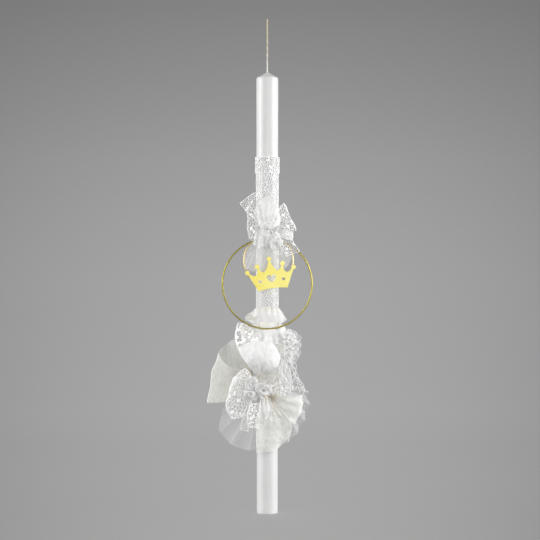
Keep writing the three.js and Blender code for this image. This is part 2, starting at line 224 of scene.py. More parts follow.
def solid_sheet(grid, thickness):
    """Vertices and faces of a thin closed sheet on a grid."""
    n, m = grid.shape[:2]
    normal = grid_normals(grid) * thickness / 2
    skins = np.concatenate([(grid + normal).reshape(-1, 3), (grid - normal).reshape(-1, 3)])
    back = n * m
    faces = []
    for i in range(n - 1):
        for j in range(m - 1):
            a = i * m + j
            faces.append((a, a + m, a + m + 1, a + 1))
            faces.append((back + a, back + a + 1, back + a + m + 1, back + a + m))
    at = np.arange(back).reshape(n, m)
    border = np.concatenate([at[0], at[1:, -1], at[-1, -2::-1], at[-2:0:-1, 0]]).tolist()
    for p, q in zip(border, border[1:] + border[:1]):
        faces.append((p, q, back + q, back + p))
    return skins, faces


def circle(n):
    """Cosine and sine of n even steps round a circle."""
    turns = TAU * np.arange(n) / n
    return np.stack([np.cos(turns), np.sin(turns)], axis=1)


def ring_faces(n, sides, closed=False):
    """Faces of a skin over n rings of points, with flat ends unless the last ring meets the first."""
    faces = []
    for k in range(n if closed else n - 1):
        a, b = k * sides, (k + 1) % n * sides
        for j in range(sides):
            faces.append((a + j, a + (j + 1) % sides, b + (j + 1) % sides, b + j))
    if not closed:
        faces += [tuple(range(sides))[::-1], tuple(range((n - 1) * sides, n * sides))]
    return faces


def tube(path, radius, sides=8, closed=False):
    """Vertices and faces of a round tube along a path."""
    path = np.asarray(path, float)
    if closed:
        tangent = np.roll(path, -1, 0) - np.roll(path, 1, 0)
    else:
        tangent = np.gradient(path, axis=0)
    tangent /= np.maximum(norm(tangent, axis=1, keepdims=True), 1e-9)
    seed = np.array([0.0, 0.0, 1.0]) if abs(tangent[0][2]) < 0.9 else np.array([1.0, 0.0, 0.0])
    side = np.cross(tangent[0], seed)
    rows = []
    for point, ahead in zip(path, tangent):
        side = side - ahead * np.dot(side, ahead)
        side /= max(norm(side), 1e-9)
        rows.append(point + radius * circle(sides) @ np.stack([side, np.cross(ahead, side)]))
    return np.concatenate(rows), ring_faces(len(path), sides, closed)


def joined(parts):
    vertices, faces, base = [], [], 0
    for v, f in parts:
        vertices.append(np.asarray(v, float))
        faces += [tuple(base + i for i in face) for face in f]
        base += len(v)
    return np.concatenate(vertices), faces


def lathe(outline, segments=96):
    """A closed turned mesh. The outline starts and ends on the axis."""
    outline = np.asarray(outline, float)
    vertices = [(0, 0, outline[0][1])]
    for r, z in outline[1:-1]:
        vertices += [(r * x, r * y, z) for x, y in circle(segments)]
    vertices.append((0, 0, outline[-1][1]))
    rings = len(outline) - 2
    last = len(vertices) - 1
    faces = []
    for j in range(segments):
        k = (j + 1) % segments
        faces.append((0, 1 + k, 1 + j))
        faces.append((last, 1 + (rings - 1) * segments + j, 1 + (rings - 1) * segments + k))
        for i in range(rings - 1):
            a, b = 1 + i * segments, 1 + (i + 1) * segments
            faces.append((a + j, a + k, b + k, b + j))
    return np.array(vertices), faces


# ---------------------------------------------------------------- materials
class Look:
    """A node material while it is built."""

    def __init__(self, name):
        self.material = bpy.data.materials.new(name)
        self.material.use_nodes = True
        self.tree = self.material.node_tree
        self.bsdf = self.tree.nodes["Principled BSDF"]
        self.spot = self.coordinates()

    def feed(self, socket, value):
        """Links another node's output to a socket, or sets a constant on it."""
        if isinstance(value, bpy.types.NodeSocket):
            self.tree.links.new(value, socket)
        elif socket.type == "RGBA":
            socket.default_value = (*value, 1)
        else:
            socket.default_value = value

    def surface(self, **values):
        for key, value in values.items():
            self.feed(self.bsdf.inputs[key.replace("_", " ")], value)

    def node(self, kind, inputs=(), **settings):
        node = self.tree.nodes.new(kind)
        for key, value in settings.items():
            setattr(node, key, value)
        for key, value in dict(inputs).items():
            self.feed(node.inputs[key], value)
        return node

    def coordinates(self, stretch=(1, 1, 1)):
        source = self.node("ShaderNodeTexCoord").outputs["Object"]
        return self.node("ShaderNodeMapping", {"Vector": source, "Scale": stretch}).outputs["Vector"]

    def axis(self, name, vector=None):
        return self.node("ShaderNodeSeparateXYZ", {0: vector or self.spot}).outputs[name]

    def noise(self, scale, detail=4.0, vector=None):
        inputs = {"Vector": vector or self.spot, "Scale": scale, "Detail": detail}
        return self.node("ShaderNodeTexNoise", inputs).outputs["Fac"]

    def remap(self, value, low_in, high_in, low_out, high_out):
        inputs = {"Value": value, "From Min": low_in, "From Max": high_in}
        inputs.update({"To Min": low_out, "To Max": high_out})
        return self.node("ShaderNodeMapRange", inputs).outputs["Result"]

    def blend(self, factor, first, second):
        return self.node("ShaderNodeMix", {0: factor, 6: first, 7: second}, data_type="RGBA").outputs[2]

    def maths(self, operation, first, second):
        return self.node("ShaderNodeMath", {0: first, 1: second}, operation=operation).outputs[0]

    def bump(self, height, distance, strength=1.0):
        inputs = {"Height": height, "Distance": distance, "Strength": strength}
        self.surface(Normal=self.node("ShaderNodeBump", inputs).outputs["Normal"])

    def cloth_map(self):
        return self.node("ShaderNodeUVMap", uv_map="cloth").outputs[0]

    def bunched(self, share):
        """A share of how tightly the cloth is gathered, which is its gather attribute."""
        gather = self.node("ShaderNodeAttribute", attribute_name="gather").outputs["Fac"]
        return self.maths("MULTIPLY", gather, share)

    def see_through(self, colour, opacity, passed=0.18):
        """Mixes the surface with a Transparent one by opacity, and lets a share of the light through."""
        self.surface(Base_Color=colour)
        clear = self.node("ShaderNodeBsdfTransparent").outputs[0]
        glow = self.node("ShaderNodeBsdfTranslucent", {"Color": colour}).outputs[0]
        cloth = self.node("ShaderNodeMixShader", {0: passed, 1: self.bsdf.outputs[0], 2: glow}).outputs[0]
        mix = self.node("ShaderNodeMixShader", {0: opacity, 1: clear, 2: cloth}).outputs[0]
        self.feed(self.tree.nodes["Material Output"].inputs["Surface"], mix)


def wax_material():
    """Smooth wax with faint drag marks, and painted shade where the sleeve covers it."""
    look = Look("candle_wax")
    mottle, height = look.noise(28), look.axis("Z")
    above = look.maths("GREATER_THAN", height, low("lace_sleeve")[2] * MM)
    below = look.maths("LESS_THAN", height, high("lace_sleeve")[2] * MM)
    bare = look.blend(mottle, (0.64, 0.639, 0.635), (0.70, 0.70, 0.696))
    # Painted shade: under the sleeve the wax is coloured darker, standing in for the shadow that the lace
    # casts on it.
    painted_sleeve_shade = look.blend(mottle, (0.61, 0.61, 0.606), (0.69, 0.69, 0.686))
    look.surface(
        Base_Color=look.blend(look.maths("MULTIPLY", above, below), bare, painted_sleeve_shade),
        Roughness=look.remap(look.noise(90), 0.3, 0.7, 0.34, 0.5),
        Subsurface_Weight=0.35,
        Subsurface_Radius=(1.0, 0.85, 0.7),
        Subsurface_Scale=0.004,
    )
    look.bump(look.noise(1.0, vector=look.coordinates((140, 140, 9))), 0.0004, 0.5)
    return look.material


def wick_material():
    """Cotton that is waxed and pale at its foot and browner towards its end."""
    look = Look("wick_cotton")
    foot = WAX_TOP * MM
    dry = look.remap(look.axis("Z"), foot, foot + 0.05, 0.0, 1.0)
    fibre = look.noise(1400, vector=look.coordinates((1, 1, 0.25)))
    grooves = look.remap(fibre, 0.3, 0.7, 0.0, 0.35)
    cotton = look.blend(dry, (0.78, 0.77, 0.74), (0.56, 0.5, 0.36))
    look.surface(
        Base_Color=look.blend(grooves, cotton, (0.36, 0.3, 0.2)),
        Roughness=look.remap(dry, 0, 1, 0.45, 0.9),
    )
    look.bump(fibre, 0.0002)
    return look.material


def thread_material(name, dark, light):
    """Twisted cotton: fine fibres along with a little unevenness in colour."""
    look = Look(name)
    fibre = look.noise(1500, 2.0)
    look.surface(
        Base_Color=look.blend(look.noise(60), dark, light),
        Roughness=look.remap(fibre, 0.3, 0.7, 0.62, 0.9),
        Sheen_Weight=0.25,
    )
    look.bump(fibre, 0.00015, 0.7)
    return look.material


def weave(look, pitch):
    """The height of a plain weave, from the cloth's own UV map in metres."""
    cloth = look.cloth_map()
    waves = []
    for axis in ("X", "Y"):
        turn = look.maths("MULTIPLY", look.axis(axis, cloth), TAU / (pitch * MM))
        waves.append(look.maths("SINE", turn, 0.0))
    return look.maths("MAXIMUM", *waves)


def organza_material(name, dark, light, opacity, gather_shade_colour, passed=0.18):
    """Sheer ribbon: denser where it is bunched, with painted warm shade in its gathers."""
    look = Look(name)
    # Painted shade: where the cloth is bunched its colour turns darker and warmer, standing in for the
    # shade in the gathers.
    painted_gather_shade = look.bunched(look.remap(look.noise(110), 0.35, 0.7, 0.1, 0.9))
    colour = look.blend(painted_gather_shade, look.blend(look.noise(45), dark, light), gather_shade_colour)
    height = weave(look, 0.9)
    look.surface(Roughness=look.remap(height, -1, 1, 0.42, 0.6), Sheen_Weight=0.3, Specular_IOR_Level=0.4)
    look.bump(height, 0.00012, 0.5)
    streak = look.noise(160, vector=look.coordinates((1, 1, 0.3)))
    threads = look.remap(height, -1, 1, -0.05, 0.05)
    sheer = look.maths("ADD", look.remap(streak, 0.3, 0.7, opacity - 0.08, opacity + 0.08), threads)
    look.see_through(colour, look.maths("ADD", sheer, look.bunched(0.4)), passed)
    return look.material


def tulle_material(name, density):
    """Fine six-sided net: thin threads round clear cells about a millimetre across."""
    look = Look(name)
    inputs = {"Vector": look.cloth_map(), "Scale": 900.0, "Randomness": 0.35}
    cells = look.node("ShaderNodeTexVoronoi", inputs, feature="DISTANCE_TO_EDGE")
    thread = look.remap(cells.outputs["Distance"], 0.06, 0.16, 1.0, 0.0)
    look.surface(Roughness=look.remap(thread, 0, 1, 0.8, 0.55))
    film = look.remap(look.noise(30), 0.3, 0.7, 0.03, 0.07)
    open_net = look.maths("ADD", film, look.maths("MULTIPLY", thread, density))
    colour = look.blend(look.noise(50), (0.93, 0.93, 0.93), (0.98, 0.98, 0.98))
    look.see_through(colour, look.maths("ADD", open_net, look.bunched(0.22)))
    return look.material


def gold_material(name, dark, light, roughness, metal, relief):
    """Gold lacquer or foil with fine scuffs, and painted light that lightens it towards the object's right.
    """
    look = Look(name)
    # Painted light: the colour lightens from left to right, a painted shading across the gold.
    painted_side_light = look.remap(look.axis("X"), -0.03, 0.05, -0.35, 0.35)
    scuff = look.noise(420, 6.0)
    look.surface(
        Base_Color=look.blend(look.maths("ADD", look.noise(35), painted_side_light), dark, light),
        Roughness=look.remap(scuff, 0.3, 0.7, roughness - 0.06, roughness + 0.1),
        Metallic=metal,
    )
    if relief:
        look.bump(scuff, 0.00008, relief)
    return look.material


def glue_material():
    look = Look("hot_glue")
    look.surface(
        Base_Color=look.blend(look.noise(300), (0.8, 0.78, 0.7), (0.92, 0.91, 0.87)),
        Roughness=look.remap(look.noise(900), 0.3, 0.7, 0.15, 0.35),
        Subsurface_Weight=0.5,
        Subsurface_Radius=(1.0, 1.0, 0.9),
        Subsurface_Scale=0.002,
    )
    return look.material


WHITE_THREAD = thread_material("white_thread", (0.93, 0.93, 0.925), (0.99, 0.99, 0.985))
EDGE_THREAD = thread_material("ribbon_edge", (0.9, 0.9, 0.87), (0.98, 0.98, 0.96))
LACE_THREAD = thread_material("lace_thread", (0.92, 0.92, 0.91), (0.99, 0.99, 0.985))
CORD_THREAD = thread_material("ivory_cord", (0.66, 0.62, 0.52), (0.82, 0.79, 0.7))
# Painted shade colours that the organza turns towards where it is gathered, and on the knots.
WARM_GATHER_SHADE = (0.7, 0.58, 0.4)
CREAM_GATHER_SHADE = (0.88, 0.83, 0.74)
PALE_GATHER_SHADE = (0.93, 0.9, 0.84)
TAN_KNOT_SHADE = (0.6, 0.48, 0.3)
ORGANZA_WHITE = organza_material("organza_white", (0.96, 0.96, 0.957), (0.99, 0.99, 0.987), 0.86, CREAM_GATHER_SHADE)
ORGANZA_IVORY = organza_material("organza_ivory", (0.82, 0.82, 0.77), (0.9, 0.9, 0.86), 0.36, WARM_GATHER_SHADE)
ORGANZA_DENSE = organza_material(
    "organza_ivory_dense", (0.95, 0.95, 0.915), (0.985, 0.985, 0.955), 0.88, WARM_GATHER_SHADE)
ORGANZA_PUFF = organza_material(
    "organza_puff", (0.965, 0.965, 0.957), (0.99, 0.99, 0.985), 0.8, PALE_GATHER_SHADE, 0.3)
# Painted shade: the knots' organza is coloured darker and tan, standing in for the shade among the bows.
KNOT_CLOTH = organza_material("organza_knot", (0.72, 0.66, 0.53), (0.86, 0.82, 0.72), 0.95, TAN_KNOT_SHADE)
TULLE = tulle_material("tulle_thin", 0.12)
TULLE_FOLDED = tulle_material("tulle_folded", 0.3)
VEIL = tulle_material("tulle_veil", 0.7)
GOLD_WIRE = gold_material("gold_wire", (0.32, 0.27, 0.05), (0.44, 0.38, 0.09), 0.38, 1.0, 0.0)
PALE_GOLD_WIRE = gold_material("pale_gold_wire", (0.58, 0.47, 0.22), (0.7, 0.59, 0.32), 0.34, 1.0, 0.0)
GOLD_PLATE = gold_material("gold_plate", (0.84, 0.71, 0.13), (0.87, 0.82, 0.3), 0.5, 0.3, 0.3)
GLUE = glue_material()
WAX = wax_material()
WICK = wick_material()
WHITE = (ORGANZA_WHITE, "organza_white")
IVORY = (ORGANZA_IVORY, "organza_ivory")
DENSE = (ORGANZA_DENSE, "organza_ivory")
PUFF = (ORGANZA_PUFF, "organza_ivory")


# ---------------------------------------------------------------- cloth pieces
EDGE_R, CREASE_R = 0.45, 0.85  # rolled edges and pressed folds of a ribbon
SIDES = ("low", "high")
RIM = (*SIDES, "end")  # every border but the gathered one


def step_lengths(grid, axis):
    return norm(np.diff(grid, axis=axis), axis=2)


def set_uv(mesh, grid):
    """UVs in metres along and across the cloth, for both skins."""
    n, m = grid.shape[:2]
    along = np.concatenate([[0], np.cumsum(step_lengths(grid, 0).mean(1))])
    across = np.concatenate([[0], np.cumsum(step_lengths(grid, 1).max(0))])
    a, b = np.meshgrid(along, across, indexing="ij")
    flat = np.stack([a, b], axis=2).reshape(-1, 2) * MM
    flat = np.concatenate([flat, flat])
    layer = mesh.uv_layers.new(name="cloth")
    corner = np.zeros(len(mesh.loops), int)
    mesh.loops.foreach_get("vertex_index", corner)
    picked = np.zeros((len(corner), 2))
    inside = corner < 2 * n * m
    picked[inside] = flat[corner[inside]]
    layer.data.foreach_set("uv", picked.ravel())


def set_gather(mesh, values):
    """How tightly the cloth is gathered at each vertex. The rolled edges, which come last, are not."""
    gather = np.zeros(len(mesh.vertices), np.float32)
    gather[:len(values)] = values
    mesh.attributes.new("gather", "FLOAT", "POINT").data.foreach_set("value", gather)


def cut_size(grid):
    """Width and length of the flat cloth that a grid was gathered from, and the cloth's area, in metres."""
    width = step_lengths(grid, 1).sum(1).max() * MM
    length = step_lengths(grid, 0).sum(0).max() * MM
    a = grid[1:, :-1] - grid[:-1, :-1]
    b = grid[:-1, 1:] - grid[:-1, :-1]
    c = grid[1:, :-1] - grid[1:, 1:]
    d = grid[:-1, 1:] - grid[1:, 1:]
    area = norm(np.cross(a, b), axis=2).sum() + norm(np.cross(c, d), axis=2).sum()
    return width, length, area / 2 * MM * MM


def declare(grid, area=None):
    width, length, cloth_area = cut_size(grid)
    area = cloth_area if area is None else area
    area = min(max(area, 0.3 * width * length), width * length)


def borders(grid):
    return {"low": grid[:, 0], "high": grid[:, -1], "start": grid[0], "end": grid[-1]}


def ribbon(name, knot, ribs, cloth, pleats, waves, wrinkle=0.6, wires=(), creases=(), thickness=0.3,
           gather_reach=0.35, held="gathered", **shape):
    """One gathered ribbon, with a rolled edge along its wired borders and its creases. cloth is its
    material and its slot; the slot is not used."""
    material, slot = cloth
    grid, away = gathered(knot, ribs, pleats, waves, wrinkle, **shape)
    parts = [solid_sheet(grid, thickness)]
    cloth_faces = len(parts[0][1])
    parts += [tube(borders(grid)[side], EDGE_R, 6) for side in wires]
    parts += [tube(grid[int(share * (len(grid) - 1))], CREASE_R, 6) for share in creases]
    vertices, faces = joined(parts)
    piece = new_piece(name + "_cloth", vertices, faces, material)
    piece.data.materials.append(EDGE_THREAD)
    rolled_edge = [0] * cloth_faces + [1] * (len(faces) - cloth_faces)
    piece.data.polygons.foreach_set("material_index", rolled_edge)
    set_uv(piece.data, grid)
    set_gather(piece.data, np.tile(fade(away, gather_reach).ravel(), 2))
    stand_for(piece, name)
    declare(grid)


# ---------------------------------------------------------------- nets and lace
def scattered(length, width, cell, rng, wrap=False):
    """Seeds about one cell apart over a length by width patch and just outside it."""
    rows = max(2, round(length / (cell * 0.87)))
    columns = max(2, round(width / cell))
    dy, dx = length / rows, width / columns
    seeds = []
    for i in range(-2, rows + 2):
        row = []
        for j in range(columns):
            x = (j + 0.25 + 0.5 * (i % 2)) * dx + rng.uniform(-0.36, 0.36) * dx
            row.append((x, (i + 0.5) * dy + rng.uniform(-0.36, 0.36) * dy))
        seeds += row
        if wrap:
            seeds += [(x - width, y) for x, y in row] + [(x + width, y) for x, y in row]
        else:
            seeds += [(-1.5 * dx, (i + 0.5) * dy), (-0.5 * dx, (i + 0.2) * dy)]
            seeds += [(width + 1.5 * dx, (i + 0.5) * dy), (width + 0.6 * dx, (i + 0.2) * dy)]
    return seeds


def voronoi_cells(seeds, length, width, wrap=False):
    """The corners and the cells, as lists of corner numbers, of the seeds' Voronoi pattern."""
    points, _, triangles, *_ = delaunay_2d_cdt([Vector(s) for s in seeds], [], [], 0, 1e-7)
    spots = np.array([complex(*p) for p in points])
    a, b, c = spots[np.array(triangles)].T
    p, q = b - a, c - a
    area = p.conj() * q - p * q.conj()
    thin = abs(area) < 1e-9
    centres = a + p * q * (p - q).conj() / np.where(thin, 1, area)
    corners = np.where(thin, (a + b + c) / 3, centres)
    around = {}
    for k, triangle in enumerate(triangles):
        for v in triangle:
            around.setdefault(v, []).append(k)
    cells = []
    for v, near in around.items():
        spot = spots[v]
        if -0.001 <= spot.real < width and 0 <= spot.imag <= length and len(near) > 2:
            cells.append(sorted(near, key=lambda k: np.angle(corners[k] - spot)))
    x = corners.real if wrap else np.clip(corners.real, 0, width)
    return np.stack([x, np.clip(corners.imag, 0, length)], axis=1), cells


def add_parts(piece, parts):
    """Joins closed parts to a finished piece."""
    if not parts:
        return
    vertices, faces = joined(parts)
    bm = bmesh.new()
    bm.from_mesh(piece.data)
    made = [bm.verts.new(Vector(p) * MM) for p in vertices]
    for face in faces:
        bm.faces.new([made[k] for k in face]).smooth = True
    bm.to_mesh(piece.data)
    bm.free()


def strutted(name, vertices, cells, strand, filled=(), weld=0.25):
    """Lace thread along the cells' sides, with the filled cells closed by cloth."""
    bm = bmesh.new()
    made = [bm.verts.new(Vector(p) * MM) for p in vertices]
    for cell in cells:
        bm.faces.new([made[k] for k in cell])
    loose = [v for v in bm.verts if not v.link_faces]
    bmesh.ops.delete(bm, geom=loose, context="VERTS")
    bmesh.ops.remove_doubles(bm, verts=bm.verts, dist=weld * MM)
    bmesh.ops.dissolve_degenerate(bm, dist=weld * MM, edges=bm.edges)
    mesh = bpy.data.meshes.new(name)
    bm.to_mesh(mesh)
    bm.free()
    mesh.materials.append(LACE_THREAD)
    piece = show(name, mesh)
    wire = piece.modifiers.new("struts", "WIREFRAME")
    wire.thickness = strand * MM
    wire.use_even_offset = False
    wire.use_boundary = True
    struts = evaluated(piece)
    piece.modifiers.clear()
    piece.data = struts
    struts.name = name
    struts.polygons.foreach_set("use_smooth", [True] * len(struts.polygons))
    add_parts(piece, [patch(np.array([vertices[k] for k in cell]), strand * 0.35) for cell in filled])
    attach(piece, "root")
    return piece


def patch(ring, half):
    """A thin closed patch over a ring of points, a little thicker in its middle."""
    centre = ring.mean(0)
    flat = ring - centre
    normal = np.cross(flat, np.roll(flat, -1, 0)).sum(0)
    lift = normal / max(norm(normal), 1e-9) * half
    vertices = np.concatenate([ring + lift, ring - lift, [centre + 2 * lift, centre - 2 * lift]])
    n = len(ring)
    faces = []
    for j in range(n):
        k = (j + 1) % n
        faces += [(j, k, 2 * n), (n + k, n + j, 2 * n + 1), (k, j, n + j, n + k)]
    return vertices, faces


def on_grid(grid, x, y):
    """The point of a grid at shares x along its second axis and y along its first."""
    n, m = grid.shape[:2]
    i, j = min(max(y, 0), 1) * (n - 1), min(max(x, 0), 1) * (m - 1)
    a, b = min(int(i), n - 2), min(int(j), m - 2)
    s, t = i - a, j - b
    top = grid[a, b] * (1 - t) + grid[a, b + 1] * t
    foot = grid[a + 1, b] * (1 - t) + grid[a + 1, b + 1] * t
    return top * (1 - s) + foot * s


def beads(line, spacing, radius):
    """Small round picots along a line."""
    steps = norm(np.diff(line, axis=0), axis=1)
    total = np.concatenate([[0], np.cumsum(steps)])
    parts = []
    for d in np.arange(spacing / 2, total[-1], spacing):
        centre = np.array([np.interp(d, total, line[:, k]) for k in range(3)])
        parts.append(ball(centre, radius, 8, 6))
    return parts


def ball(centre, radius, segments=12, rings=8):
    outline = [(radius * sin(a), -radius * cos(a)) for a in np.linspace(0, pi, rings + 1)]
    outline[0], outline[-1] = (0, -radius), (0, radius)
    vertices, faces = lathe(outline, segments)
    return vertices + np.asarray(centre), faces


def net(name, knot, ribs, cell, strand, slot, pleats, waves, wrinkle=0.8, fill_share=0.0, hems=(),
        picots=None, held="gathered", seed=1, **shape):
    """One gathered net of threads. picots = (border, spacing, radius) of the beads along its edge."""
    grid, _ = gathered(knot, ribs, pleats, waves, wrinkle, seed=seed, **shape)
    length = step_lengths(grid, 0).sum(0).mean()
    width = step_lengths(grid, 1).sum(1).mean()
    rng = random.Random(seed)
    flat, cells = voronoi_cells(scattered(length, width, cell, rng), length, width)
    vertices = [on_grid(grid, x / width, y / length) for x, y in flat]
    filled = [c for c in cells if rng.random() < fill_share]
    piece = strutted(name + "_cloth", vertices, cells, strand, filled)
    extra = [tube(borders(grid)[side], strand * 0.55, 6) for side in hems]
    if picots:
        border, spacing, radius = picots
        extra += beads(borders(grid)[border], spacing, radius)
    add_parts(piece, extra)
    stand_for(piece, name)
    area = sum(p.area for p in piece.data.polygons) / 2
    declare(grid, area)


# ---------------------------------------------------------------- candle, sleeve and ties
def build_candle():
    edge = 1.5
    shoulder = wax_radius(SHOULDER_Z) - 1.2
    outline = [(0, 0), (FOOT_R - edge, 0)]
    for a in np.linspace(0.3, 1.57, 5):
        outline.append((FOOT_R - edge + edge * sin(a), edge - edge * cos(a)))
    outline += [(wax_radius(z), z) for z in np.linspace(8, SHOULDER_Z - 3, 60)]
    outline += [(wax_radius(SHOULDER_Z) - 0.25, SHOULDER_Z - 0.8), (shoulder, SHOULDER_Z + 0.5)]
    for share in (0.2, 0.4, 0.6, 0.78, 0.9):
        r = shoulder * (1 - share) ** 0.9 + 2.0 * share
        outline.append((r, SHOULDER_Z + 0.5 + (TIP_RISE - 1.2) * share ** 1.15))
    outline += [(1.6, WAX_TOP - 0.1), (1.5, WAX_TOP), (0, WAX_TOP)]
    vertices, faces = lathe(outline, 96)
    shift = np.array([noise.noise(Vector(v) / 22) for v in vertices])
    soft = np.clip(vertices[:, 2] / 12, 0, 1) * 0.12
    vertices[:, 0] += shift * soft
    vertices[:, 1] += shift * soft
    solid("wax_body", [(vertices, faces)], WAX, "candle_wax")


def build_wick():
    low_z, high_z = 8.5, high("wick")[2]
    zs = np.linspace(WAX_TOP - 2, high_z - 0.4, 240)
    parts = []
    for ply in range(3):
        turn = TAU * ply / 3 + zs / 5.5
        path = np.stack([0.52 * np.cos(turn), 0.52 * np.sin(turn), zs], axis=1)
        parts.append(tube(path, 0.62, 8))
    core = np.array([(0, 0, z) for z in (low_z, 300, WAX_TOP - 1)])
    parts.append(tube(core, 1.0, 10))
    solid("wick_braid", parts, WICK, "wick")


def sleeve_net(name, node, radius, z_low, z_high, cell, strand, fill_share, seed, hems, swell):
    """Lace wrapped round the candle, its seam closed."""
    mean = radius((z_low + z_high) / 2)
    width, length = TAU * mean, z_high - z_low
    rng = random.Random(seed)
    flat, cells = voronoi_cells(scattered(length, width, cell, rng, True), length, width, True)

    def wrapped(x, y):
        z = z_low + y
        angle = x / mean
        spot = Vector((cos(angle) * 2, sin(angle) * 2, z / 9 + seed))
        bulge = swell * (noise.noise(spot) + 0.4)
        r = radius(z) + max(bulge, 0)
        return np.array([r * cos(angle), r * sin(angle), z])

    vertices = [wrapped(x, y) for x, y in flat]
    filled = [c for c in cells if rng.random() < fill_share]
    piece = strutted(name, vertices, cells, strand, filled, 0.2)
    rings = [np.array([wrapped(x, z - z_low) for x in np.linspace(0, width, 97)[:-1]]) for z in hems]
    add_parts(piece, [tube(ring, strand * 0.6, 6, closed=True) for ring in rings])
    stand_for(piece, node)
    area = sum(p.area for p in piece.data.polygons) / 2
    area = min(max(area, 0.3 * width * length * MM * MM), width * length * MM * MM)


def build_sleeve():
    z_low, z_high = low("lace_sleeve")[2], high("lace_sleeve")[2]
    c_low, c_high = low("lace_cuff")[2], high("lace_cuff")[2]
    sleeve_net("lace_sleeve_cloth", "lace_sleeve", lambda z: wax_radius(z) + 0.35,
               z_low + 0.6, z_high - 0.4, 4.3, 0.95, 0.0, 11, (z_low + 0.6, z_high - 0.6), 0.2)
    sleeve_net("lace_cuff_cloth", "lace_cuff", lambda z: wax_radius(z) + 1.3,
               c_low, c_high, 4.2, 1.0, 0.05, 23, (c_low + 0.4, c_high - 0.4), 0.7)


def build_tie(node):
    """Two plies of cord wound round the candle."""
    z = middle(node)[2]
    radius = high(node)[0] - 1.1
    turns = np.linspace(0, TAU, 361)[:-1]
    parts = []
    for ply in range(2):
        twist = turns * 26 + pi * ply
        r = radius + 0.5 * np.cos(twist)
        path = np.stack([r * np.cos(turns), r * np.sin(turns), z + 0.5 * np.sin(twist)], axis=1)
        parts.append(tube(path, 0.58, 8, closed=True))
    solid(node + "_cord", parts, CORD_THREAD, node)


def build_knot(node, pleat_count, seed):
    """A gathered wrap: a rounded bundle with creases that run from its back to its front."""
    lo, hi = low(node), high(node)
    centre, half = (lo + hi) / 2, (hi - lo) / 2
    n, m = 48, 40
    grid = np.zeros((n, m, 3))
    for i, a in enumerate(np.linspace(0.02, pi - 0.02, n)):
        for j, b in enumerate(TAU * np.arange(m) / m):
            crease = 1 + 0.1 * sin(pleat_count * b + 1.6 * a + seed) * sin(a)
            crease -= 0.1 * noise.noise(Vector((3 * cos(b), 3 * sin(b), 2.5 * a + seed)))
            r = sin(a) ** 0.7 * crease
            grid[i, j] = centre + half * np.array([r * cos(b), -cos(a), r * sin(b)]) * 0.97
    wrap = (grid.reshape(-1, 3), ring_faces(n, m))
    piece = solid(node + "_wrap", [wrap], KNOT_CLOTH, node)
    # This gather value makes the knot denser and turns it further towards its painted tan shade.
    set_gather(piece.data, np.full(n * m, 0.4))
    piece.data.uv_layers.new(name="cloth")


# ---------------------------------------------------------------- hoops, hanger and crown
def build_hoop(node, piece_name, material, body):
    lo, hi = low(node), high(node)
    centre, wire = (lo + hi) / 2, (hi[1] - lo[1]) / 2
    radius = (hi[0] - lo[0]) / 2 - wire
    turns = TAU * np.arange(192) / 192
    zero = np.zeros_like(turns)
    path = centre + np.stack([radius * np.sin(turns), zero, radius * np.cos(turns)], axis=1)
    solid(piece_name, [tube(path, wire, 16, closed=True)], material, node, body)
    return centre, radius, wire


EYE_GAP, TWIST_R = 0.75, 0.42  # from a wire to the thread's middle, and the thread's radius
YARN_R = 0.42


def build_hanger(outer, inner):
    """A twisted thread with one eye round each wire."""
    x = middle("hanger_thread")[0]
    top = high("hanger_thread")[2]
    parts, eyes = [], []
    for centre, radius, wire in (outer, inner):
        eye = np.array([x, centre[1], centre[2] + radius])
        eyes.append((eye, wire))
        turns = TAU * np.arange(32) / 32
        r = wire + EYE_GAP
        loop = eye + np.stack([0.25 * np.sin(turns), r * np.sin(turns), r * np.cos(turns)], axis=1)
        parts.append(tube(loop, TWIST_R, 8, closed=True))
    for eye, wire in eyes:
        start = eye + np.array([0, 0, wire + EYE_GAP])
        end = np.array([x, (eyes[0][0][1] + eyes[1][0][1]) / 2, top - 0.4])
        steps = np.linspace(0, 1, 30)
        line = start + np.outer(steps, end - start)
        line[:, 0] += 0.18 * np.sin(steps * 22)
        parts.append(tube(line, TWIST_R, 8))
    solid("hanger_twist", parts, CORD_THREAD, "hanger_thread", "hanger")


# Balls of the crown and valleys between them. The real part runs along the plate, the imaginary part up it.
CROWN_BALLS = [36.6 + 30.8j, 20.1 + 38.6j, 48.4j, -20.1 + 38.6j, -36.6 + 30.8j]
CROWN_VALLEYS = [24 + 25j, 9.6 + 29.6j, -9.6 + 29.6j, -24 + 25j]
CROWN_HALF = 22.8
CROWN_ARCH = 2.2
CROWN_BALL_R = 3.6
CROWN_TURN = radians(7.7)
# Corners and handles of a heart two units wide, from its point by way of its notch and back.
HEART = [
    -0.85j, 0.5 - 0.4j, 1 - 0.05j, 1 + 0.35j, 1 + 0.95j, 0.2 + 1.05j, 0.4j,
    -0.2 + 1.05j, -1 + 0.95j, -1 + 0.35j, -1 - 0.05j, -0.5 - 0.4j, -0.85j,
]


def bezier(handles, n):
    """The points of a Bezier curve, without its first one."""
    t, order = np.linspace(0, 1, n)[1:], len(handles) - 1
    return sum(comb(order, k) * (1 - t) ** (order - k) * t ** k * h for k, h in enumerate(handles))


def heart(centre, width, n=14):
    sides = [bezier(HEART[k:k + 4], n) for k in range(0, len(HEART) - 1, 3)]
    return centre + width / 2 * np.concatenate(sides)


